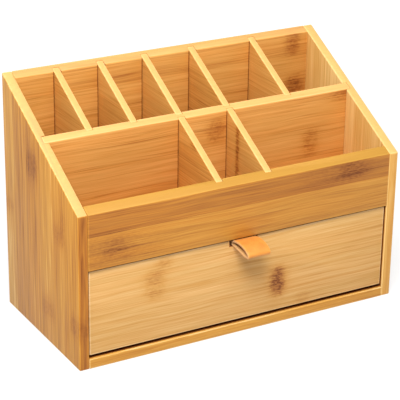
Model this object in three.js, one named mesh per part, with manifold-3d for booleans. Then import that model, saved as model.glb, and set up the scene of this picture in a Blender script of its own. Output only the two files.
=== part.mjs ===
// Desk organizer in bamboo board: nine open compartments under a sloping rim, over one drawer with a
// leather pull. Millimetres, +Z up, the front faces -Y, the origin is at the centre of the underside.
import * as THREE from "three";
import { mergeVertices } from "three/addons/utils/BufferGeometryUtils.js";
import Module from "manifold-3d";

// Carcass
const width = 300;
const depth = 140;
const backHeight = 208;
const frontHeight = 133;
const board = 8.5; // sides, front panel and bottom
const backBoard = 7.5;
const floorBoard = 5;
const frontPanelFoot = 85.5; // lower edge of the front panel and underside of the compartment floor
const play = 0.2; // gap round a board in its groove

// Dividers: each is centred at one of these distances from the middle, left to right
const dividerBoard = 6;
const crossBoard = 6.5;
const crossBack = 5; // back face of the cross divider
const backDividersAt = [-103.7, -63.5, -21.7, 23.7, 84.1];
const frontDividersAt = [-21.5, 24.7];

// Groove depths
const crossInSide = 4;
const dividerInBack = 4;
const dividerInCross = 2;
const dividerInFront = 2.5;
const floorInBoard = 3;
const drawerBottomInBoard = 2.5;

// Drawer
const drawerInset = 2; // the drawer front stands this far behind the carcass front
const drawerFrontBoard = 8;
const drawerBoard = 6;
const drawerBottomBoard = 3;
const drawerLength = 118; // behind its front
const drawerWallTop = 67.5; // above the carcass bottom
const gapUnderFront = 2.6;
const gapOverFront = 1.2;
const gapBesideFront = 1.2;
const gapBesideWalls = 1.5;
const gapUnderWalls = 0.3;
const drawerBottomLift = 5; // underside of the drawer bottom above the carcass bottom

// Leather pull: one strap folded double, through a notch in the top edge of the drawer front
const strapWidth = 21;
const leather = 2;
const strapClear = 0.3; // to the wood, and between the two layers
const notchEdge = 0.3; // radius of the notch's rear edge, which the strap bends round
const notchWidth = 26;
const notchDepth = 5.3;
const strapMouth = 1; // behind the drawer front's face, where the strap starts to bend
const strapReach = 23.3; // from the drawer front to the centre of the fold
const foldRise = 0.4; // the fold's centre above the notch floor
const foldRadius = 1.4;
const foldStart = 128; // degrees, from pointing into the drawer round over the top
const foldEnd = 285;
const crownHandle = [8.5, 3.4]; // out and up: the upper layer rises out of the notch
const fallHandle = [4.6, 4.4]; // back and up from the fold, where it comes down
const sagHandle = [5.5, -1.2]; // back and down from the fold: the lower layer sags
const levelHandle = 9; // and runs out level from the notch
const strapTail = 21; // length of the ends that hang down behind the drawer front

// Screws that hold the strap's ends
const screwAt = 5.5; // to each side of the middle
const screwDrop = 13; // below the notch floor
const shankRadius = 1.25;
const headRadius = 3;
const headHeight = 1.8;
const headRim = 0.45; // height of the head's straight rim, as a share of the head's height
const headShoulder = [0.72, 0.85]; // radius and height of its shoulder, as shares of the head's
const crossArm = 0.58; // reach of the cross recess, as a share of the head's radius
const crossFloor = 0.4; // floor of the recess, as a share of the head's height
const crossHalfWidth = 0.45;
const screwBite = 5.5; // into the wood

const wasm = await Module();
wasm.setup();

const front = -depth / 2;
const back = depth / 2;
const inside = width / 2 - board; // inner face of a side
const frontPanelBack = front + board;
const backPanelFront = back - backBoard;
const crossFront = crossBack - crossBoard;
const floorTop = frontPanelFoot + floorBoard;
const beyond = 1; // how far a cutting block runs past the surface it opens

const rimAt = (y) => frontHeight + ((backHeight - frontHeight) * (y - front)) / depth;

// A box between two opposite corners.
function block(a, b) {
  const size = b.map((value, i) => Math.abs(value - a[i]));
  const centre = b.map((value, i) => (value + a[i]) / 2);
  return new THREE.BoxGeometry(...size).translate(...centre);
}

// An outline in the YZ plane, drawn out along X from x0 to x1.
function prism(outline, x0, x1) {
  const geometry = new THREE.ExtrudeGeometry(new THREE.Shape(outline), { depth: x1 - x0, bevelEnabled: false });
  const axes = [new THREE.Vector3(0, 1, 0), new THREE.Vector3(0, 0, 1), new THREE.Vector3(1, 0, 0)];
  return geometry.applyMatrix4(new THREE.Matrix4().makeBasis(...axes)).translate(x0, 0, 0);
}

// A board from x0 to x1 and y0 to y1 that stands on foot and ends in the sloping rim.
function planedBoard(x0, x1, y0, y1, foot) {
  const corners = [[y0, foot], [y1, foot], [y1, rimAt(y1)], [y0, rimAt(y0)]];
  return prism(corners.map(([y, z]) => new THREE.Vector2(y, z)), x0, x1);
}

function solidOf(geometry) {
  const bare = new THREE.BufferGeometry().setAttribute("position", geometry.getAttribute("position"));
  const merged = mergeVertices(bare.setIndex(geometry.index));
  return new wasm.Manifold(new wasm.Mesh({
    numProp: 3,
    vertProperties: merged.getAttribute("position").array,
    triVerts: new Uint32Array(merged.index.array),
  }));
}

// The geometry with every tool taken out of it.
function cut(geometry, ...tools) {
  const rest = tools.reduce((solid, tool) => solid.subtract(solidOf(tool)), solidOf(geometry));
  const { vertProperties, triVerts } = rest.getMesh();
  const indexed = new THREE.BufferGeometry()
    .setAttribute("position", new THREE.BufferAttribute(vertProperties, 3))
    .setIndex(new THREE.BufferAttribute(triVerts, 1));
  const flat = indexed.toNonIndexed();
  flat.computeVertexNormals();
  return flat;
}

function part(name, geometry, material) {
  const mesh = new THREE.Mesh(geometry, material);
  mesh.name = name;
  return mesh;
}

const bamboo = (color) => new THREE.MeshStandardMaterial({ color, roughness: 0.45, metalness: 0 });
const tannedLeather = () => new THREE.MeshStandardMaterial({ color: 0xf2a348, roughness: 0.55, metalness: 0 });
const zincedSteel = () => new THREE.MeshStandardMaterial({ color: 0xb9b6ae, roughness: 0.35, metalness: 1 });

const outerTone = 0xc89858;
const frontTone = 0xcc8a46;
const innerTone = 0xd99a50;
const drawerTone = 0xe8b870;

// A vertical groove for a divider's edge, centred at x, open at the rim.
function dividerGroove(x, y0, y1) {
  const half = dividerBoard / 2 + play;
  return block([x - half, y0, floorTop - play], [x + half, y1, backHeight + beyond]);
}

// The left side for hand -1, the right side for hand 1.
function sidePanel(hand) {
  const face = hand * inside;
  const [x0, x1] = [face, hand * (width / 2)].sort((a, b) => a - b);
  const open = face - hand * beyond;
  const crossGroove = block(
    [open, crossFront - play, floorTop - play],
    [face + hand * (crossInSide + play), crossBack + play, backHeight],
  );
  const floorGroove = block(
    [open, frontPanelBack, frontPanelFoot - play],
    [face + hand * (floorInBoard + play), backPanelFront + floorInBoard + play, floorTop + play],
  );
  return cut(planedBoard(x0, x1, front, back, 0), crossGroove, floorGroove);
}

function backPanel() {
  const floorGroove = block(
    [-inside - beyond, backPanelFront - beyond, frontPanelFoot - play],
    [inside + beyond, backPanelFront + floorInBoard + play, floorTop + play],
  );
  const grooves = backDividersAt.map((x) =>
    dividerGroove(x, backPanelFront - beyond, backPanelFront + dividerInBack + play));
  return cut(planedBoard(-inside, inside, backPanelFront, back, 0), floorGroove, ...grooves);
}

function frontPanel() {
  const grooves = frontDividersAt.map((x) =>
    dividerGroove(x, frontPanelBack - dividerInFront - play, frontPanelBack + beyond));
  return cut(planedBoard(-inside, inside, front, frontPanelBack, frontPanelFoot), ...grooves);
}

function crossDivider() {
  const behind = backDividersAt.map((x) =>
    dividerGroove(x, crossBack - dividerInCross - play, crossBack + beyond));
  const before = frontDividersAt.map((x) =>
    dividerGroove(x, crossFront - beyond, crossFront + dividerInCross + play));
  const reach = inside + crossInSide;
  return cut(planedBoard(-reach, reach, crossFront, crossBack, floorTop), ...behind, ...before);
}

// Dividers that run from front to back, each standing on the compartment floor.
function dividers(name, places, y0, y1) {
  const half = dividerBoard / 2;
  return places.map((x, i) => {
    const mesh = part(`${name}_${i + 1}`, planedBoard(-half, half, y0, y1, floorTop), bamboo(innerTone));
    mesh.position.x = x;
    return mesh;
  });
}

function carcass() {
  const bottom = block([-inside, front, 0], [inside, backPanelFront, board]);
  const floorReach = inside + floorInBoard;
  const floor = block(
    [-floorReach, frontPanelBack, frontPanelFoot],
    [floorReach, backPanelFront + floorInBoard, floorTop],
  );
  return new THREE.Group().add(
    part("left_side", sidePanel(-1), bamboo(outerTone)),
    part("right_side", sidePanel(1), bamboo(outerTone)),
    part("back_panel", backPanel(), bamboo(innerTone)),
    part("front_panel", frontPanel(), bamboo(frontTone)),
    part("bottom_panel", bottom, bamboo(outerTone)),
    part("compartment_floor", floor, bamboo(innerTone)),
    part("cross_divider", crossDivider(), bamboo(innerTone)),
    ...dividers("back_divider", backDividersAt, crossBack - dividerInCross, backPanelFront + dividerInBack),
    ...dividers("front_divider", frontDividersAt, frontPanelBack - dividerInFront, crossFront + dividerInCross),
  );
}

// In the drawer, y counts from the drawer front's outer face and z from the carcass bottom's upper face.
const frontTop = frontPanelFoot - board - gapOverFront;
const notchFloor = frontTop - notchDepth;
const wallOutside = inside - gapBesideWalls;
const wallInside = wallOutside - drawerBoard;
const drawerBack = drawerFrontBoard + drawerLength;
const screwHeight = notchFloor - screwDrop;
const strapBack = drawerFrontBoard + 2 * strapClear + 2 * leather; // rear surface of the strap's outer layer

// A hole along Y, from y0 to y1.
function screwHole(x, y0, y1) {
  const hole = new THREE.CylinderGeometry(shankRadius + strapClear, shankRadius + strapClear, y1 - y0, 16);
  return hole.translate(x, (y0 + y1) / 2, screwHeight);
}

function drawerFront() {
  const half = inside - gapBesideFront;
  const whole = block([-half, 0, gapUnderFront], [half, drawerFrontBoard, frontTop]);
  const notch = block(
    [-notchWidth / 2, -beyond, notchFloor],
    [notchWidth / 2, drawerFrontBoard + beyond, frontTop + beyond],
  );
  const bite = screwBite + strapClear;
  const holes = [-screwAt, screwAt].map((x) =>
    screwHole(x, drawerFrontBoard - bite, drawerFrontBoard + beyond));
  return cut(whole, notch, drawerBottomGroove(), ...holes);
}

// The channel that the drawer bottom slides into, as one slab a little larger than the bottom itself.
function drawerBottomGroove() {
  const reach = drawerBottomInBoard + play;
  return block(
    [-wallInside - reach, drawerFrontBoard - reach, drawerBottomLift - play],
    [wallInside + reach, drawerBack - drawerBoard + reach, drawerBottomLift + drawerBottomBoard + play],
  );
}

function drawerBottom() {
  const reach = drawerBottomInBoard;
  return block(
    [-wallInside - reach, drawerFrontBoard - reach, drawerBottomLift],
    [wallInside + reach, drawerBack - drawerBoard + reach, drawerBottomLift + drawerBottomBoard],
  );
}

function drawerSide(hand) {
  const wall = block(
    [hand * wallInside, drawerFrontBoard, gapUnderWalls],
    [hand * wallOutside, drawerBack, drawerWallTop],
  );
  return cut(wall, drawerBottomGroove());
}

function drawerBackWall() {
  const wall = block(
    [-wallInside, drawerBack - drawerBoard, gapUnderWalls],
    [wallInside, drawerBack, drawerWallTop],
  );
  return cut(wall, drawerBottomGroove());
}

// The middle line of the strap in the YZ plane: up behind the drawer front, out through the notch, round
// the fold at the tip, back under itself and down again.
function strapLine() {
  const near = drawerFrontBoard + strapClear + leather / 2; // the layer next to the wood
  const low = notchFloor + strapClear + leather / 2;
  const layers = leather + strapClear;
  const bend = notchEdge + strapClear + leather / 2;
  const bendY = near - bend;
  const bendZ = low - bend;
  const end = notchFloor - strapTail;
  const fold = new THREE.Vector2(-strapReach, notchFloor + foldRise);
  const [from, to] = [foldStart, foldEnd].map(THREE.MathUtils.degToRad);
  const onFold = (angle) =>
    fold.clone().add(new THREE.Vector2(Math.cos(angle), Math.sin(angle)).multiplyScalar(foldRadius));
  const mouth = new THREE.Vector2(strapMouth, low);
  const upperMouth = new THREE.Vector2(strapMouth, low + layers);
  const crown = new THREE.Vector2(-crownHandle[0], crownHandle[1]).add(upperMouth);
  const fall = new THREE.Vector2(...fallHandle).add(onFold(from));
  const sag = new THREE.Vector2(...sagHandle).add(onFold(to));
  const level = new THREE.Vector2(-levelHandle, 0).add(mouth);
  const line = new THREE.Path();
  line.moveTo(near + layers, end);
  line.lineTo(near + layers, bendZ);
  line.absarc(bendY, bendZ, bend + layers, 0, Math.PI / 2, false);
  line.lineTo(upperMouth.x, upperMouth.y);
  line.bezierCurveTo(crown.x, crown.y, fall.x, fall.y, onFold(from).x, onFold(from).y);
  line.absarc(fold.x, fold.y, foldRadius, from, to, false);
  line.bezierCurveTo(sag.x, sag.y, level.x, level.y, mouth.x, mouth.y);
  line.lineTo(bendY, low);
  line.absarc(bendY, bendZ, bend, Math.PI / 2, 0, true);
  line.lineTo(near, end);
  const points = line.getPoints(8);
  return points.filter((point, i) => i === 0 || point.distanceTo(points[i - 1]) > 0.01);
}

// The outline of a ribbon of even thickness along a line.
function ribbon(line, thickness) {
  const offset = (side) => line.map((point, i) => {
    const before = line[Math.max(i - 1, 0)];
    const after = line[Math.min(i + 1, line.length - 1)];
    const along = after.clone().sub(before).normalize();
    return new THREE.Vector2(point.x - (side * along.y * thickness) / 2, point.y + (side * along.x * thickness) / 2);
  });
  return [...offset(-1), ...offset(1).reverse()];
}

function pullTab() {
  const strap = prism(ribbon(strapLine(), leather), -strapWidth / 2, strapWidth / 2);
  const holes = [-screwAt, screwAt].map((x) => screwHole(x, drawerFrontBoard, strapBack + beyond));
  return cut(strap, ...holes);
}

// A pan-head screw along Y with a cross recess; its head bears on the strap from behind.
function screw() {
  const seat = strapBack + strapClear;
  const tip = drawerFrontBoard - screwBite;
  const profile = [
    [0, tip],
    [shankRadius, tip + shankRadius],
    [shankRadius, seat],
    [headRadius, seat],
    [headRadius, seat + headHeight * headRim],
    [headRadius * headShoulder[0], seat + headHeight * headShoulder[1]],
    [0, seat + headHeight],
  ];
  const turned = new THREE.LatheGeometry(profile.map(([r, y]) => new THREE.Vector2(r, y)), 24);
  const arm = headRadius * crossArm;
  const slot = crossHalfWidth;
  const floor = seat + headHeight * crossFloor;
  const roof = seat + headHeight + beyond;
  return cut(
    turned,
    block([-arm, floor, -slot], [arm, roof, slot]),
    block([-slot, floor, -arm], [slot, roof, arm]),
  );
}

function drawer() {
  const screws = [-screwAt, screwAt].map((x, i) => {
    const mesh = part(`tab_screw_${i + 1}`, screw(), zincedSteel());
    mesh.position.set(x, 0, screwHeight);
    return mesh;
  });
  const group = new THREE.Group().add(
    part("drawer_front", drawerFront(), bamboo(drawerTone)),
    part("drawer_left_side", drawerSide(-1), bamboo(drawerTone)),
    part("drawer_right_side", drawerSide(1), bamboo(drawerTone)),
    part("drawer_back", drawerBackWall(), bamboo(drawerTone)),
    part("drawer_bottom", drawerBottom(), bamboo(innerTone)),
    part("pull_tab", pullTab(), tannedLeather()),
    ...screws,
  );
  group.position.set(0, front + drawerInset, board);
  return group;
}

const organizer = new THREE.Group();
organizer.name = "desk_organizer";
organizer.add(carcass(), drawer());

export default organizer;
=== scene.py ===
import math

import bpy
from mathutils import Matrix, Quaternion, Vector


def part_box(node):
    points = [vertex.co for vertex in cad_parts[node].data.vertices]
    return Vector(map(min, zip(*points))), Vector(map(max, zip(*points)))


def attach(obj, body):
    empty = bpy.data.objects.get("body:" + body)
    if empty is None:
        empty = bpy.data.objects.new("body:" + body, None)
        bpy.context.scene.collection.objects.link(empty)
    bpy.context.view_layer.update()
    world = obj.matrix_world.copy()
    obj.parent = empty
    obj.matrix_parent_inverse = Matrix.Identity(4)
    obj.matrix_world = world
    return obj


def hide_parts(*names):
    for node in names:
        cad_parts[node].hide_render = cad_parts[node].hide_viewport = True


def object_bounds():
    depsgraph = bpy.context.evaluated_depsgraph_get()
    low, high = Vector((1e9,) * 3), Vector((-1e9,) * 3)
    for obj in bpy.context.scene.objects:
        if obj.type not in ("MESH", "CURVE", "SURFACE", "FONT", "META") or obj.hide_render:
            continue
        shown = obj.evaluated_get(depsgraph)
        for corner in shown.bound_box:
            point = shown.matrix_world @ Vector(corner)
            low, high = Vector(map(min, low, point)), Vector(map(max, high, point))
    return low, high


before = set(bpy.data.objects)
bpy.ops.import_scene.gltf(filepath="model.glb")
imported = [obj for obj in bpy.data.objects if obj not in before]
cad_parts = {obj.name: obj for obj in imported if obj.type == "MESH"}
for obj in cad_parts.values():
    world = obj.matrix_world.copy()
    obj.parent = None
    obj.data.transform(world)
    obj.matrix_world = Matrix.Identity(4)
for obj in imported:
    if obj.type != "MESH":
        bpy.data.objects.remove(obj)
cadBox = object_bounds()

mm = 0.001

# the rim of the whole organizer is planed to one slope, from the front panel up to the back panel
leftLow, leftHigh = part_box("left_side")
rimFrontY = leftLow.y
rimBackY = leftHigh.y
rimBackZ = leftHigh.z


def rimFrontHeight():
    # the front edge of the side boards is their lowest rim point
    heights = [v.co.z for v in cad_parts["left_side"].data.vertices if v.co.y < rimFrontY + 0.01 * mm]
    return max(heights)


rimFrontZ = rimFrontHeight()
rimSlope = (rimBackZ - rimFrontZ) / (rimBackY - rimFrontY)


# ---- shader helpers

def srgb(code):
    # a web colour as linear light, for the colour sockets
    values = [int(code[i:i + 2], 16) / 255 for i in (1, 3, 5)]
    linear = [v / 12.92 if v <= 0.04045 else ((v + 0.055) / 1.055) ** 2.4 for v in values]
    return (*linear, 1.0)


class Wire:
    # one output of a node: sums and products of wires add their own Math nodes
    def __init__(self, finish, socket):
        self.finish = finish
        self.socket = socket

    def maths(self, operation, *values):
        return self.finish.add("ShaderNodeMath", {"operation": operation}, list(values))

    def __add__(self, other):
        return self.maths("ADD", self, other)

    def __sub__(self, other):
        return self.maths("SUBTRACT", self, other)

    def __mul__(self, other):
        return self.maths("MULTIPLY", self, other)

    def __truediv__(self, other):
        return self.maths("DIVIDE", self, other)

    def __pow__(self, other):
        return self.maths("POWER", self, other)

    def __radd__(self, other):
        return self.maths("ADD", other, self)

    def __rsub__(self, other):
        return self.maths("SUBTRACT", other, self)

    def __rmul__(self, other):
        return self.maths("MULTIPLY", other, self)

    def __rtruediv__(self, other):
        return self.maths("DIVIDE", other, self)

    def floor(self):
        return self.maths("FLOOR", self)

    def fraction(self):
        return self.maths("FRACT", self)

    def size(self):
        return self.maths("ABSOLUTE", self)

    def lower(self, other):
        return self.maths("MINIMUM", self, other)

    def higher(self, other):
        return self.maths("MAXIMUM", self, other)

    def output(self, name):
        return Wire(self.finish, self.socket.node.outputs[name])

    def rise(self, low, high):
        # 0 below low, 1 above high, smooth between
        return self.finish.add("ShaderNodeMapRange", {"interpolation_type": "SMOOTHSTEP"},
                               {"Value": self, "From Min": low, "From Max": high})


class Finish:
    # one material and the nodes that make it
    def __init__(self, name):
        self.material = bpy.data.materials.new(name)
        self.material.use_nodes = True
        self.tree = self.material.node_tree
        self.tree.nodes.clear()

    def add(self, kind, settings, inputs, output=0):
        node = self.tree.nodes.new(kind)
        for key, value in settings.items():
            if key == "stops":
                self.setStops(node.color_ramp.elements, value)
            elif key == "blend":
                node.color_ramp.interpolation = value
            else:
                setattr(node, key, value)
        pairs = inputs.items() if isinstance(inputs, dict) else enumerate(inputs)
        for key, value in pairs:
            if isinstance(value, Wire):
                self.tree.links.new(value.socket, node.inputs[key])
            else:
                node.inputs[key].default_value = value
        return Wire(self, node.outputs[output])

    def setStops(self, elements, stops):
        while len(elements) < len(stops):
            elements.new(1.0)
        for element, (place, colour) in zip(elements, stops):
            element.position = place
            element.color = colour

    def place(self):
        # the three coordinates in millimetres
        split = self.add("ShaderNodeSeparateXYZ", {}, [self.add("ShaderNodeTexCoord", {}, {}, "Object")])
        return {axis: split.output(axis) / mm for axis in "XYZ"}

    def facing(self):
        split = self.add("ShaderNodeSeparateXYZ", {}, [self.add("ShaderNodeTexCoord", {}, {}, "Normal")])
        return {axis: split.output(axis) for axis in "XYZ"}

    def point(self, x, y, z):
        return self.add("ShaderNodeCombineXYZ", {}, [x, y, z])

    def noise(self, vector, detail=2.0, roughness=0.5):
        return self.add("ShaderNodeTexNoise", {}, {"Vector": vector, "Scale": 1.0, "Detail": detail,
                                                   "Roughness": roughness})

    def ramp(self, value, stops, blend="LINEAR"):
        return self.add("ShaderNodeValToRGB", {"stops": stops, "blend": blend}, [value])

    def mix(self, factor, first, second, how="MIX"):
        return self.add("ShaderNodeMix", {"data_type": "RGBA", "blend_type": how},
                        {0: factor, 6: first, 7: second}, 2)

    def bump(self, height, strength):
        sockets = {"Strength": strength, "Distance": mm, "Height": height}
        return self.add("ShaderNodeBump", {}, sockets, "Normal")

    def surface(self, inputs):
        shader = self.add("ShaderNodeBsdfPrincipled", {}, inputs)
        end = self.tree.nodes.new("ShaderNodeOutputMaterial")
        self.tree.links.new(shader.socket, end.inputs["Surface"])
        return self.material


# ---- bamboo

# dark knuckle brown up to the palest straw, for each kind of board
honey = [(0.0, srgb("#6E3814")), (0.25, srgb("#A2642A")), (0.5, srgb("#C48C42")),
         (0.75, srgb("#D5A258")), (1.0, srgb("#E6C284"))]
toast = [(0.0, srgb("#6A3614")), (0.25, srgb("#9A622A")), (0.5, srgb("#B67D32")),
         (0.75, srgb("#C99644")), (1.0, srgb("#E4C68E"))]
straw = [(0.0, srgb("#743E1A")), (0.25, srgb("#A46A32")), (0.5, srgb("#C28E48")),
         (0.75, srgb("#D1A566")), (1.0, srgb("#E6C590"))]


def tinted(stops, red, green, blue):
    return [(place, (colour[0] * red, colour[1] * green, colour[2] * blue, 1)) for place, colour in stops]


def bamboo(look):
    finish = Finish(look["piece"] + "Bamboo")
    place = finish.place()
    facing = finish.facing()
    seed = look["seed"]
    along = place[look["grain"]]
    across = place[look["strips"]]
    through = place[({"X", "Y", "Z"} - {look["grain"], look["strips"]}).pop()]

    # which strip a point is in, and how far it is from the glue line
    width = look.get("stripWidth", 24)
    stripPlace = (across - look.get("stripStart", 0)) / width
    strip = stripPlace.floor()
    inStrip = stripPlace.fraction()
    toGlue = inStrip.lower(1 - inStrip) * width
    chance = finish.add("ShaderNodeTexWhiteNoise", {"noise_dimensions": "3D"},
                        [finish.point(strip, seed, 3.7)])
    chances = finish.add("ShaderNodeSeparateColor", {}, [chance.output("Color")])

    # fibres: long streaks at several scales, wandering a little
    shift = chance * 400 + seed * 53
    wander = finish.noise(finish.point((along + shift) * 0.012, across * 0.03, through * 0.05), 1.0) - 0.5
    side = (across + wander * look.get("wander", 5)) * look.get("fineness", 1)
    depth = through * look.get("fineness", 1) * 0.6
    broad = finish.noise(finish.point((along + shift) * 0.006, side * 0.12, depth * 0.12), 2.0) - 0.5
    streak = finish.noise(finish.point((along + shift) * 0.01, side * 0.55, depth * 0.55), 2.0, 0.65) - 0.5
    thread = finish.noise(finish.point((along + shift) * 0.007, side * 0.7, depth * 0.7), 0.0) - 0.5
    fibre = finish.noise(finish.point((along + shift) * 0.04, side * 1.6, depth * 1.6), 2.0) - 0.5
    speck = finish.noise(finish.point(along * 0.28, side * 0.6, depth * 0.6), 1.0) - 0.5
    mottle = finish.noise(finish.point(along * 0.2, across * 0.8, through * 0.8), 3.0, 0.6) - 0.5

    # knuckles: the ones listed, and stray ones, one to a strip at most
    knuckle = None
    for u, v, halfLength, halfWidth, strength in look.get("knuckles", []):
        du = (along - u + mottle * 6) / halfLength
        dv = (across - v + mottle * 3) / halfWidth
        reach = du * du + dv * dv * dv * dv
        spot = strength / (1 + reach * reach)
        knuckle = spot if knuckle is None else knuckle + spot
    if look.get("stray", 0) > 0:
        period = 240
        turn = ((along + mottle * 7) / period + chances.output("Red")).fraction() - 0.5
        ring = turn * period / 6
        tight = (toGlue).rise(0, 4)
        there = chances.output("Green").rise(1 - look["stray"], 1.02 - look["stray"])
        spot = there * tight * (0.14 + chances.output("Blue") * 0.16) / (1 + ring * ring * ring * ring)
        knuckle = spot if knuckle is None else knuckle + spot
    ruffled = knuckle * (0.7 + mottle * 0.8 + speck.rise(-0.05, 0.08) * 0.35)

    # tone of the strip
    if "stripTones" in look:
        tones = look["stripTones"]
        first = look["firstStrip"]
        stops = [(i / len(tones), (0.5 + t, 0.5 + t, 0.5 + t, 1)) for i, t in enumerate(tones)]
        spread = finish.ramp((strip - first + 0.5) / len(tones), stops, "CONSTANT")
        stripTone = finish.add("ShaderNodeSeparateColor", {}, [spread]) - 0.5
    else:
        stripTone = (chance - 0.5) * look.get("stripSpread", 0.16)

    # distance to the nearest edge of the board: the middle one of the three depths below its faces
    low, high = [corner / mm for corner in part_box(look["node"])]
    top = high.z - place["Z"]
    if look.get("rim"):
        top = (place["Y"] - rimFrontY / mm) * rimSlope + rimFrontZ / mm - place["Z"]
    depthX = (place["X"] - low.x).lower(high.x - place["X"])
    depthY = (place["Y"] - low.y).lower(high.y - place["Y"])
    depthZ = (place["Z"] - low.z).lower(top)
    toEdge = depthX.lower(depthY).higher(depthX.higher(depthY).lower(depthZ))
    eased = 1 - (toEdge + fibre * 0.8).rise(0.2, 1.5)

    # thin dark veins where the thread pattern changes sign, stronger in the darker streaks
    vein = (1 - thread.size().rise(0.015, 0.07)) * (0.25 + (fibre - streak).rise(-0.15, 0.15) * 0.75)
    figure = (broad * 0.28 + streak * 0.5 + fibre * 0.3) * look.get("contrast", 1)
    glueLine = 1 - toGlue.rise(0.1, 0.6)
    planed = 0.0
    if look.get("rim"):
        planed = facing["Z"].rise(0.4, 0.8)
        figure = figure * (1 - planed * 0.5)
        stripTone = stripTone * (1 - planed * 0.85)
    tone = look["tone"] + stripTone + figure - glueLine * look.get("glue", 0.1) * (1 - planed)
    tone = tone - (ruffled + vein * look.get("veins", 0.14)) * (1 - planed * 0.75)
    # painted highlight: the eased edges are made lighter
    tone = tone + eased * look.get("edgeHighlight", 0.16)
    # painted shade: each listed box of the board is darkened where a gap, corner or notch lies in shade
    for ranges, change in look.get("paintedShades", []):
        shadeMask = change
        for axis, (start, stop) in ranges.items():
            shadeMask = (place[axis] - start).rise(0, 0.3) * (stop - place[axis]).rise(0, 0.3) * shadeMask
        tone = tone - shadeMask * (1 - planed)
    # painted light and shade: faces turned up, down, forward or sideways are made lighter or darker as they
    # are lit
    for axis, way, change in look.get("faces", []):
        tone = tone + (facing[axis] * way).rise(0.4, 0.8) * change

    colour = finish.ramp(tone, look["colours"])
    warm = finish.mix((broad + 0.5).rise(0.35, 0.75) * 0.3, colour, srgb("#FFE0B4"), "MULTIPLY")
    # the up-facing rim faces are mixed towards a paler colour: partly the planed surface's own colour,
    # partly a painted highlight on faces turned to the lamps
    if look.get("rim"):
        warm = finish.mix(planed * look.get("pale", 0.25), warm, srgb(look.get("paleColour", "#D2B984")))
    height = streak * 0.05 + fibre * 0.06 - glueLine * 0.05 - vein * 0.04 + knuckle * mottle * 0.2
    bump = finish.bump(height, 0.5)
    rough = 0.44 + fibre * 0.25 + vein * 0.08 + knuckle * 0.08 - eased * 0.06
    return finish.surface({"Base Color": warm, "Roughness": rough, "Normal": bump, "IOR": 1.45,
                           "Specular IOR Level": 0.2, "Coat Weight": 0.04, "Coat Roughness": 0.3})


# ---- boards

def selectOnly(piece):
    bpy.ops.object.select_all(action="DESELECT")
    piece.select_set(True)
    bpy.context.view_layer.objects.active = piece


def isOuter(face, points):
    # true where the whole board lies behind this face
    return max((point - face.center).dot(face.normal) for point in points) < 0.02 * mm


def selectSharp(piece, outer):
    # outer True takes the board's own edges, False takes the mouths of its grooves and notches
    mesh = piece.data
    points = [v.co for v in mesh.vertices]
    skin = {face.index: isOuter(face, points) for face in mesh.polygons}
    users = {}
    for face in mesh.polygons:
        for key in face.edge_keys:
            users.setdefault(key, []).append(face)
    for edge in mesh.edges:
        faces = users.get(edge.key, [])
        edge.select = False
        if len(faces) != 2:
            continue
        first, second = faces
        if first.normal.angle(second.normal) < math.radians(15):
            continue
        folded = (second.center - first.center).dot(first.normal) > 0.01 * mm
        bothSkin = skin[first.index] and skin[second.index]
        oneSkin = skin[first.index] != skin[second.index]
        edge.select = bothSkin if outer else oneSkin and not folded
    return any(edge.select for edge in mesh.edges)


def easeEdges(piece, outer, width, segments):
    bpy.ops.object.mode_set(mode="EDIT")
    bpy.ops.mesh.select_mode(type="EDGE")
    bpy.ops.mesh.select_all(action="DESELECT")
    bpy.ops.object.mode_set(mode="OBJECT")
    for polygon in piece.data.polygons:
        polygon.select = False
    found = selectSharp(piece, outer)
    bpy.ops.object.mode_set(mode="EDIT")
    if found:
        bpy.ops.mesh.bevel(offset=width, segments=segments, profile=0.5, affect="EDGES", clamp_overlap=True)
    bpy.ops.object.mode_set(mode="OBJECT")


def makeBoard(look):
    # a copy of the cut board: its loose triangles merged, its flats made whole, its edges eased
    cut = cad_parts[look["node"]]
    piece = bpy.data.objects.new(look["piece"], cut.data.copy())
    bpy.context.scene.collection.objects.link(piece)
    piece.data.materials.clear()
    selectOnly(piece)
    bpy.ops.mesh.customdata_custom_splitnormals_clear()
    bpy.ops.object.mode_set(mode="EDIT")
    bpy.ops.mesh.select_mode(type="VERT")
    bpy.ops.mesh.select_all(action="SELECT")
    bpy.ops.mesh.remove_doubles(threshold=0.01 * mm)
    bpy.ops.mesh.dissolve_limited(angle_limit=math.radians(1))
    bpy.ops.object.mode_set(mode="OBJECT")
    easeEdges(piece, True, look.get("ease", 0.7) * mm, 3)
    easeEdges(piece, False, look.get("mouthEase", 0.45) * mm, 2)
    bpy.ops.object.shade_smooth_by_angle(angle=math.radians(35))
    piece.data.materials.append(bamboo(look))
    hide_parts(look["node"])
    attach(piece, look["body"])


jointShadow = {"width": 1.3, "outside": 0.95, "depth": 1, "strength": 0.5}


def jointShadows(name, count, face):
    # painted shade in the corner along the joint beside each divider, on the face at this Y only
    depth = (face - jointShadow["depth"], face + jointShadow["depth"])
    width = jointShadow["width"]
    outside = jointShadow["outside"]
    lines = []
    for number in range(1, count + 1):
        low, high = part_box(name + str(number))
        for start in (low.x / mm - outside, high.x / mm + outside - width):
            lines.append(({"X": (start, start + width), "Y": depth}, jointShadow["strength"]))
    return lines


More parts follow.
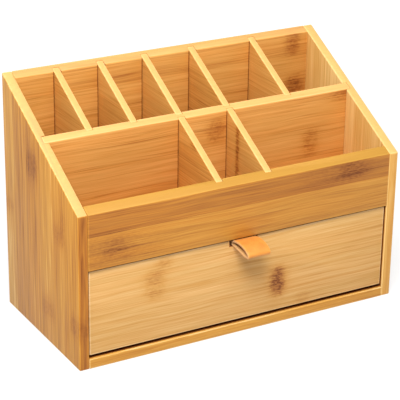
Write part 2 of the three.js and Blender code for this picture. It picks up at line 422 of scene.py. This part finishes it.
leftSide = {
    "piece": "leftSideBoard", "node": "left_side", "body": "carcass", "slot": "bamboo_side",
    "grain": "Z", "strips": "Y", "stripWidth": 25, "stripStart": 0, "seed": 1,
    "fineness": 0.65, "glue": 0.22, "contrast": 1.5, "veins": 0.2, "wander": 2, "pale": 0.45,
    "firstStrip": -3, "stripTones": [-0.02, -0.01, 0.06, -0.06, -0.04, 0.13],
    # the colours are tinted warmer, painting the warm shade this side stands in
    "colours": tinted(toast, 1.09, 1.05, 0.85), "tone": 0.6, "rim": True, "ease": 0.9,
    "faces": [("Z", 1, 0.12), ("Y", -1, -0.32)],
    # where along the grain, where across it, half length, half width, strength
    "knuckles": [(147, 14, 12, 10, 0.27), (104, -35, 8, 10, 0.17), (118, -42, 9, 6, 0.1),
                 (30, -12, 9, 11, 0.2), (36, -62, 9, 9, 0.2), (95, 61, 6, 8, 0.16)],
}
rightSide = {
    "piece": "rightSideBoard", "node": "right_side", "body": "carcass", "slot": "bamboo_side",
    "grain": "Z", "strips": "Y", "stripWidth": 25, "stripStart": 8, "seed": 2, "stray": 0.6,
    "colours": tinted(straw, 1.03, 1.01, 0.84), "tone": 0.56, "rim": True, "ease": 0.9,
    "faces": [("Z", 1, 0.1), ("Y", -1, 0.08), ("X", -1, 0.27)],
    # a dark line painted on the inside: the painted shade of the narrow gap beside the drawer front
    "paintedShades": [({"X": (141, 142.5), "Y": (-68.3, -64.8), "Z": (8, 86)}, 0.7)],
}
frontPanel = {
    "piece": "frontPanelBoard", "node": "front_panel", "body": "carcass", "slot": "bamboo_front",
    "grain": "X", "strips": "Z", "stripWidth": 23, "stripStart": -1, "seed": 3,
    "firstStrip": 3, "stripTones": [0.0, 0.02, -0.19], "contrast": 1.15, "ease": 0.4,
    "colours": tinted(toast, 1.03, 1.0, 0.98), "tone": 0.54,
    "rim": True, "pale": 0.6, "paleColour": "#AC8639",
    "faces": [("Z", -1, -0.45)],
    "knuckles": [(106, 126, 15, 9, 0.2), (78, 124, 26, 10, 0.08), (-118, 102, 9, 8, 0.1),
                 (-126, 100, 44, 13, 0.16)],
}
backPanel = {
    "piece": "backPanelBoard", "node": "back_panel", "body": "carcass", "slot": "bamboo_inner",
    "grain": "X", "strips": "Z", "stripWidth": 24, "stripStart": 17, "seed": 4, "stray": 0.35,
    "colours": tinted(honey, 1.08, 1.05, 1.1), "tone": 0.58, "rim": True,
    "faces": [("Z", 1, -0.1)],
    "knuckles": [(126, 196, 7, 11, 0.28), (129, 157, 9, 9, 0.34)],
    "paintedShades": jointShadows("back_divider_", 5, 62.5),
}
bottomPanel = {
    "piece": "bottomBoard", "node": "bottom_panel", "body": "carcass", "slot": "bamboo_side",
    "grain": "X", "strips": "Y", "stripStart": -81, "seed": 5, "stray": 0.3, "colours": toast, "tone": 0.6,
    "edgeHighlight": 0.3, "ease": 0.6,
    # painted shade on the top face in the gap under the drawer front
    "paintedShades": [({"Y": (-67.9, -62), "Z": (8.2, 9.5)}, 0.6)],
}
compartmentFloor = {
    "piece": "compartmentFloorBoard", "node": "compartment_floor", "body": "carcass",
    "slot": "bamboo_inner", "grain": "X", "strips": "Y", "seed": 6, "stray": 0.4,
    "colours": honey, "tone": 0.56, "ease": 0.4,
}
crossDivider = {
    "piece": "crossDividerBoard", "node": "cross_divider", "body": "carcass", "slot": "bamboo_inner",
    "grain": "X", "strips": "Z", "stripWidth": 24, "stripStart": 20, "seed": 7,
    "colours": tinted(honey, 1.1, 1.03, 1.08), "tone": 0.6, "rim": True, "ease": 0.5,
    "faces": [("Z", 1, 0.09)],
    "knuckles": [(106, 127, 8, 12, 0.24), (12, 153, 9, 10, 0.26), (138, 165, 12, 5, 0.18)],
    "paintedShades": jointShadows("front_divider_", 2, -1.5),
}


def dividerLook(node, number, knuckles):
    # the short dividers, with the fibres running from front to back
    return {
        "piece": node.replace("_divider_", "Divider"), "node": node, "body": "carcass",
        "slot": "bamboo_inner", "grain": "Y", "strips": "Z", "stripWidth": 24, "stripStart": 5 * number,
        "seed": 10 + number,
        "colours": tinted(honey, 1.06, 1.03, 1.05), "tone": 0.59, "rim": True, "ease": 0.5, "stray": 0.2,
        "faces": [("Z", 1, 0.1)], "knuckles": knuckles,
    }


for look in [leftSide, rightSide, frontPanel, backPanel, bottomPanel, compartmentFloor, crossDivider]:
    makeBoard(look)
for i in range(1, 6):
    makeBoard(dividerLook(f"back_divider_{i}", i, []))
makeBoard(dividerLook("front_divider_1", 6, []))
makeBoard(dividerLook("front_divider_2", 7, [(-19, 130, 2.6, 45, 0.42)]))
print("carcass boards done")

drawerFront = {
    "piece": "drawerFrontBoard", "node": "drawer_front", "body": "drawer", "slot": "bamboo_drawer",
    "grain": "X", "strips": "Z", "stripWidth": 24, "stripStart": 0, "seed": 20,
    "firstStrip": 0, "stripTones": [0.0, 0.01, -0.01, 0.02],
    "colours": tinted(straw, 1.0, 1.05, 1.18), "tone": 0.62, "ease": 0.5, "mouthEase": 0.4, "glue": 0.06,
    "edgeHighlight": 0.3,
    "knuckles": [(-82, 61, 9, 13, 0.2), (-73, 78, 7, 5, 0.17), (34.5, 37, 7, 13, 0.62),
                 (60, 17, 7, 7, 0.1)],
    "faces": [("Z", -1, -0.5), ("Z", 1, -0.1)],
    # painted shade on the notch's floor and walls, and painted shade along the upper front edge where the
    # front panel shades it
    "paintedShades": [({"X": (-13.5, 13.5), "Z": (78.6, 85)}, 0.75),
               ({"Y": (-68.4, -66.9), "Z": (83.9, 85)}, 0.45)],
}


def drawerBoxLook(node, grain, strips, number):
    name = "".join(word.capitalize() for word in node.split("_")[1:])
    return {
        "piece": "drawer" + name + "Board", "node": node, "body": "drawer",
        "slot": "bamboo_drawer", "grain": grain, "strips": strips, "seed": 20 + number, "stray": 0.5,
        "stripStart": 7 * number, "colours": straw, "tone": 0.6, "ease": 0.5,
    }


makeBoard(drawerFront)
makeBoard(drawerBoxLook("drawer_left_side", "Y", "Z", 1))
makeBoard(drawerBoxLook("drawer_right_side", "Y", "Z", 2))
makeBoard(drawerBoxLook("drawer_back", "X", "Z", 3))
makeBoard({**drawerBoxLook("drawer_bottom", "X", "Y", 4), "slot": "bamboo_inner", "ease": 0.3})
print("drawer boards done")


# ---- leather pull

strap = {
    "width": 21, "thickness": 1.95, "layer": 2, "gap": 0.3, "tail": 21, "notchDepth": 5.3, "mouth": 1,
    "reach": 23.3, "foldRise": 0.4, "foldRadius": 1.4, "foldStart": 128, "foldEnd": 285,
    "crown": (0, -8.5, 4.4), "fall": (0, 4.6, 4.4), "sag": (0, 5.5, -1.2), "level": (0, -9, 0),
    "cupping": 0.2, "cuppingRun": 12, "cutEdge": 0.3,
}


def arc(centre, radius, start, stop, steps):
    angles = [math.radians(start + (stop - start) * i / steps) for i in range(steps + 1)]
    return [centre + Vector((0, math.cos(a), math.sin(a))) * radius for a in angles]


def sweep(a, b, c, d, steps):
    # a curve from a to d that leaves towards b and arrives from c
    points = []
    for i in range(steps + 1):
        t = i / steps
        points.append(a * (1 - t) ** 3 + b * 3 * t * (1 - t) ** 2 + c * 3 * t * t * (1 - t) + d * t ** 3)
    return points


def straight(a, b, steps):
    return [a.lerp(b, i / steps) for i in range(steps + 1)]


def strapLine():
    # up behind the drawer front, out through the notch, round the fold and back the same way
    low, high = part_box("drawer_front")
    board = high.y - low.y
    face = low.y
    notchFloor = high.z - strap["notchDepth"] * mm
    leather = strap["layer"] * mm
    gap = strap["gap"] * mm
    near = face + board + gap + leather / 2
    layer = leather + gap
    bend = gap + leather / 2 + 0.3 * mm
    lowZ = notchFloor + gap + leather / 2
    corner = Vector((0, near - bend, lowZ - bend))
    mouth = face + strap["mouth"] * mm
    end = notchFloor - strap["tail"] * mm
    fold = Vector((0, face - strap["reach"] * mm, notchFloor + strap["foldRise"] * mm))
    turn = arc(fold, strap["foldRadius"] * mm, strap["foldStart"], strap["foldEnd"], 12)
    upper = Vector((0, mouth, lowZ + layer))
    lower = Vector((0, mouth, lowZ))
    over = [upper, upper + Vector(strap["crown"]) * mm, turn[0] + Vector(strap["fall"]) * mm, turn[0]]
    under = [turn[-1], turn[-1] + Vector(strap["sag"]) * mm, lower + Vector(strap["level"]) * mm, lower]
    pieces = [
        straight(Vector((0, near + layer, end)), Vector((0, near + layer, corner.z)), 8),
        arc(corner, bend + layer, 0, 90, 8),
        straight(Vector((0, corner.y, lowZ + layer)), over[0], 4),
        sweep(*over, 18),
        turn,
        sweep(*under, 16),
        straight(under[3], Vector((0, corner.y, lowZ)), 4),
        arc(corner, bend, 90, 0, 6),
        straight(Vector((0, near, corner.z)), Vector((0, near, end)), 8),
    ]
    line = []
    for run in pieces:
        line += [p for p in run if not line or (p - line[-1]).length > 0.02 * mm]
    return line


def leatherFace():
    finish = Finish("pullLeatherFace")
    place = finish.place()
    spot = finish.point(place["X"], place["Y"], place["Z"])
    pores = finish.add("ShaderNodeTexVoronoi", {"feature": "DISTANCE_TO_EDGE"},
                       {"Vector": spot, "Scale": 1.5})
    grain = finish.noise(finish.point(place["X"] * 1.6, place["Y"] * 1.6, place["Z"] * 1.6), 4.0, 0.6) - 0.5
    patch = finish.noise(finish.point(place["X"] * 0.13, place["Y"] * 0.13, place["Z"] * 0.13), 2.0) - 0.5
    rubbed = (place["X"].size() + grain * 1.2).rise(8.6, 10.4)
    tone = 0.55 + patch * 0.7 + grain * 0.3 + rubbed * 0.2
    colour = finish.ramp(tone, [(0.0, srgb("#96520F")), (0.45, srgb("#C67B27")), (0.75, srgb("#D48B33")),
                                (1.0, srgb("#E4AC6C"))])
    crease = 1 - pores.rise(0.0, 0.09)
    height = grain * 0.1 - crease * 0.05
    bump = finish.bump(height, 0.5)
    shade = finish.mix(crease * 0.25, colour, srgb("#A8641F"))
    rough = 0.55 + grain * 0.3 + crease * 0.1
    return finish.surface({"Base Color": shade, "Roughness": rough, "Normal": bump, "Sheen Weight": 0.08})


def leatherCut():
    finish = Finish("pullLeatherCutEdge")
    place = finish.place()
    fuzz = finish.noise(finish.point(place["X"] * 0.6, place["Y"] * 2.4, place["Z"] * 2.4), 4.0, 0.7) - 0.5
    stops = [(0.0, srgb("#B27C48")), (0.5, srgb("#D6A46E")), (1.0, srgb("#E4BE92"))]
    colour = finish.ramp(0.5 + fuzz * 0.9, stops)
    bump = finish.bump(fuzz * 0.2, 0.6)
    return finish.surface({"Base Color": colour, "Roughness": 0.8 + fuzz * 0.2, "Normal": bump})


def leatherBack():
    finish = Finish("pullLeatherFleshSide")
    place = finish.place()
    nap = finish.noise(finish.point(place["X"] * 1.1, place["Y"] * 1.1, place["Z"] * 1.1), 5.0, 0.75) - 0.5
    stops = [(0.0, srgb("#9A6630")), (0.5, srgb("#C6985C")), (1.0, srgb("#DEBA82"))]
    colour = finish.ramp(0.5 + nap * 1.1, stops)
    bump = finish.bump(nap * 0.3, 0.8)
    return finish.surface({"Base Color": colour, "Roughness": 0.88 + nap * 0.1, "Normal": bump,
                           "Sheen Weight": 0.25})


def makePull():
    line = strapLine()
    step = line[1] - line[0]
    bpy.ops.object.select_all(action="DESELECT")
    bpy.ops.mesh.primitive_grid_add(x_subdivisions=10, y_subdivisions=1, size=1,
                                    location=(line[0] + line[1]) / 2, rotation=(math.radians(90), 0, 0))
    piece = bpy.context.object
    piece.scale = (strap["width"] * mm, step.length, 1)
    piece.name = "leatherPull"
    bpy.ops.object.transform_apply(location=True, rotation=True, scale=True)
    bpy.ops.object.mode_set(mode="EDIT")
    bpy.ops.mesh.select_mode(type="EDGE")
    bpy.ops.mesh.select_all(action="DESELECT")
    bpy.ops.object.mode_set(mode="OBJECT")
    for edge in piece.data.edges:
        ends = [piece.data.vertices[i].co for i in edge.vertices]
        edge.select = all(abs(p.z - line[1].z) < 0.01 * mm for p in ends)
    bpy.ops.object.mode_set(mode="EDIT")
    for before, after in zip(line[1:], line[2:]):
        bpy.ops.mesh.extrude_region_move(TRANSFORM_OT_translate={"value": after - before})
    bpy.ops.mesh.select_all(action="SELECT")
    bpy.ops.mesh.normals_make_consistent(inside=False)
    bpy.ops.object.mode_set(mode="OBJECT")
    # the loop's long edges curl down a little outside the notch
    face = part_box("drawer_front")[0].y
    for vertex in piece.data.vertices:
        out = min(1.0, max(0.0, (face - vertex.co.y) / (strap["cuppingRun"] * mm)))
        share = vertex.co.x / (strap["width"] * mm / 2)
        vertex.co.z -= strap["cupping"] * mm * share * share * out
    return piece


def finishPull(piece):
    piece.data.materials.append(leatherFace())
    piece.data.materials.append(leatherBack())
    piece.data.materials.append(leatherCut())
    selectOnly(piece)
    thick = piece.modifiers.new("thickness", "SOLIDIFY")
    thick.thickness = strap["thickness"] * mm
    thick.offset = 0
    thick.use_even_offset = True
    thick.material_offset = 1
    thick.material_offset_rim = 2
    bpy.ops.object.modifier_apply(modifier=thick.name)
    soft = piece.modifiers.new("cutEdges", "BEVEL")
    soft.width = strap["cutEdge"] * mm
    soft.segments = 2
    soft.limit_method = "ANGLE"
    soft.angle_limit = math.radians(60)
    bpy.ops.object.modifier_apply(modifier=soft.name)
    bpy.ops.object.shade_smooth_by_angle(angle=math.radians(50))
    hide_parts("pull_tab")
    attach(piece, "drawer")


finishPull(makePull())
print("leather pull done")


# ---- screws behind the drawer front

screw = {"headRadius": 3.0, "headHeight": 1.8, "headRound": 0.95, "shankRadius": 1.25, "tip": 0.15,
         "crossArm": 1.7, "crossWidth": 0.85, "crossDepth": 1.1}


def screwSteel():
    finish = Finish("screwSteel")
    place = finish.place()
    grime = finish.noise(finish.point(place["X"] * 0.8, place["Y"] * 0.8, place["Z"] * 0.8), 4.0, 0.6) - 0.5
    scratch = finish.noise(finish.point(place["X"] * 6, place["Y"] * 0.6, place["Z"] * 0.9), 2.0) - 0.5
    colour = finish.ramp(0.5 + grime * 0.8 + scratch * 0.3,
                         [(0.0, srgb("#7E7C78")), (0.5, srgb("#B9B6AE")), (1.0, srgb("#D6D3C8"))])
    bump = finish.bump(scratch * 0.05, 0.3)
    return finish.surface({"Base Color": colour, "Metallic": 1.0, "Roughness": 0.32 + grime * 0.3,
                           "Normal": bump})


def makeScrew(node, piece):
    low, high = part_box(node)
    centre = (low + high) / 2
    height = screw["headHeight"] * mm
    seat = high.y - height
    bpy.ops.object.select_all(action="DESELECT")
    bpy.ops.mesh.primitive_cylinder_add(vertices=32, radius=screw["headRadius"] * mm, depth=height,
                                        location=(centre.x, seat + height / 2, centre.z),
                                        rotation=(math.radians(90), 0, 0))
    head = bpy.context.object
    head.name = piece
    bpy.ops.object.transform_apply(location=True, rotation=True, scale=True)
    bpy.ops.object.mode_set(mode="EDIT")
    bpy.ops.mesh.select_mode(type="FACE")
    selectFaces(head, lambda face: face.normal.y > 0.9)
    bpy.ops.mesh.bevel(offset=screw["headRound"] * mm, segments=5, profile=0.6, affect="EDGES")
    selectFaces(head, lambda face: face.normal.y < -0.9)
    bpy.ops.mesh.inset(thickness=(screw["headRadius"] - screw["shankRadius"]) * mm)
    drop = low.y - seat
    for share in (0.8, 0.2):
        bpy.ops.mesh.extrude_region_move(TRANSFORM_OT_translate={"value": (0, drop * share, 0)})
    bpy.ops.transform.resize(value=(screw["tip"], 1, screw["tip"]))
    bpy.ops.object.mode_set(mode="OBJECT")
    cutter = makeCross(Vector((centre.x, high.y, centre.z)))
    selectOnly(head)
    recess = head.modifiers.new("cross", "BOOLEAN")
    recess.operation = "DIFFERENCE"
    recess.object = cutter
    bpy.ops.object.modifier_apply(modifier=recess.name)
    bpy.data.objects.remove(cutter)
    selectOnly(head)
    bpy.ops.object.shade_smooth_by_angle(angle=math.radians(35))
    head.data.materials.append(screwSteel())
    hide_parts(node)
    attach(head, "drawer")


def selectFaces(piece, wanted):
    bpy.ops.mesh.select_all(action="DESELECT")
    bpy.ops.object.mode_set(mode="OBJECT")
    for face in piece.data.polygons:
        face.select = wanted(face)
    bpy.ops.object.mode_set(mode="EDIT")


def makeCross(top):
    # a plus-shaped cutter: a block whose four side walls are drawn out into arms
    wide = screw["crossWidth"] * mm
    depth = 2 * screw["crossDepth"] * mm
    reach = screw["crossArm"] * mm - wide / 2
    bpy.ops.object.select_all(action="DESELECT")
    bpy.ops.mesh.primitive_cube_add(size=1, location=top)
    cutter = bpy.context.object
    cutter.scale = (wide, depth, wide)
    bpy.ops.object.transform_apply(location=True, rotation=True, scale=True)
    bpy.ops.object.mode_set(mode="EDIT")
    bpy.ops.mesh.select_mode(type="FACE")
    for way in (Vector((1, 0, 0)), Vector((-1, 0, 0)), Vector((0, 0, 1)), Vector((0, 0, -1))):
        selectFaces(cutter, lambda face: face.normal.dot(way) > 0.9)
        bpy.ops.mesh.extrude_region_move(TRANSFORM_OT_translate={"value": way * reach})
    bpy.ops.object.mode_set(mode="OBJECT")
    return cutter


makeScrew("tab_screw_1", "leftTabScrew")
makeScrew("tab_screw_2", "rightTabScrew")
print("screws done")


# ---- floor, lights and camera

studio = {
    "floorSize": 16, "fill": 0.22, "fillColour": srgb("#FFF3E4"),
    "key": {"power": 34.5, "size": 0.8, "distance": 1.8, "azimuth": -37, "elevation": 51},
    "top": {"power": 44, "size": 2.4, "distance": 2.1, "azimuth": -20, "elevation": 78},
}
shot = {"aim": (0.0043, 0.0236, -0.0169), "azimuth": -29.88, "elevation": 22.87, "distance": 1.4116,
        "roll": 0.88, "lens": 148.5}


def towards(azimuth, elevation):
    a = math.radians(azimuth)
    e = math.radians(elevation)
    return Vector((math.sin(a) * math.cos(e), -math.cos(a) * math.cos(e), math.sin(e)))


def makeFloor():
    bpy.ops.object.select_all(action="DESELECT")
    bpy.ops.mesh.primitive_plane_add(size=studio["floorSize"], location=(0, 0, cadBox[0].z))
    floor = bpy.context.object
    floor.name = "studioFloor"
    finish = Finish("studioPaper")
    place = finish.place()
    tooth = finish.noise(finish.point(place["X"] * 0.05, place["Y"] * 0.05, 0.0), 3.0) - 0.5
    colour = finish.mix(0.5 + tooth * 0.5, srgb("#868686"), srgb("#8C8C8C"))
    # the paper is lit from behind as well, more so away from the object
    away = (place["X"] * place["X"] + place["Y"] * place["Y"]) ** 0.5
    glow = finish.mix(0.7 + away.rise(250, 1400) * 0.3, srgb("#000000"), srgb("#FFFFFF"))
    floor.data.materials.append(finish.surface({"Base Color": colour, "Roughness": 0.95,
                                                "Emission Color": glow, "Emission Strength": 1.0}))


def makeLights(centre):
    world = bpy.data.worlds.new("studioFill")
    bpy.context.scene.world = world
    world.use_nodes = True
    sky = world.node_tree.nodes["Background"]
    sky.inputs["Color"].default_value = studio["fillColour"]
    sky.inputs["Strength"].default_value = studio["fill"]
    for name in ("key", "top"):
        lamp = studio[name]
        away = towards(lamp["azimuth"], lamp["elevation"])
        bpy.ops.object.light_add(type="AREA", location=centre + away * lamp["distance"])
        light = bpy.context.object
        light.name = name + "Light"
        light.rotation_mode = "QUATERNION"
        light.rotation_quaternion = (-away).to_track_quat("-Z", "Y")
        light.data.shape = "DISK"
        light.data.size = lamp["size"]
        light.data.energy = lamp["power"]


def makeCamera(centre):
    away = towards(shot["azimuth"], shot["elevation"])
    data = bpy.data.cameras.new("shotCamera")
    camera = bpy.data.objects.new("shotCamera", data)
    bpy.context.scene.collection.objects.link(camera)
    data.lens = shot["lens"]
    data.sensor_width = 36
    camera.location = centre + Vector(shot["aim"]) + away * shot["distance"]
    camera.rotation_mode = "QUATERNION"
    roll = Quaternion((0, 0, 1), math.radians(shot["roll"]))
    camera.rotation_quaternion = (-away).to_track_quat("-Z", "Y") @ roll
    bpy.context.scene.camera = camera


middle = (cadBox[0] + cadBox[1]) / 2
makeFloor()
makeLights(middle)
makeCamera(middle)
bpy.context.scene.view_settings.view_transform = "Standard"
print("floor, lights and camera done")
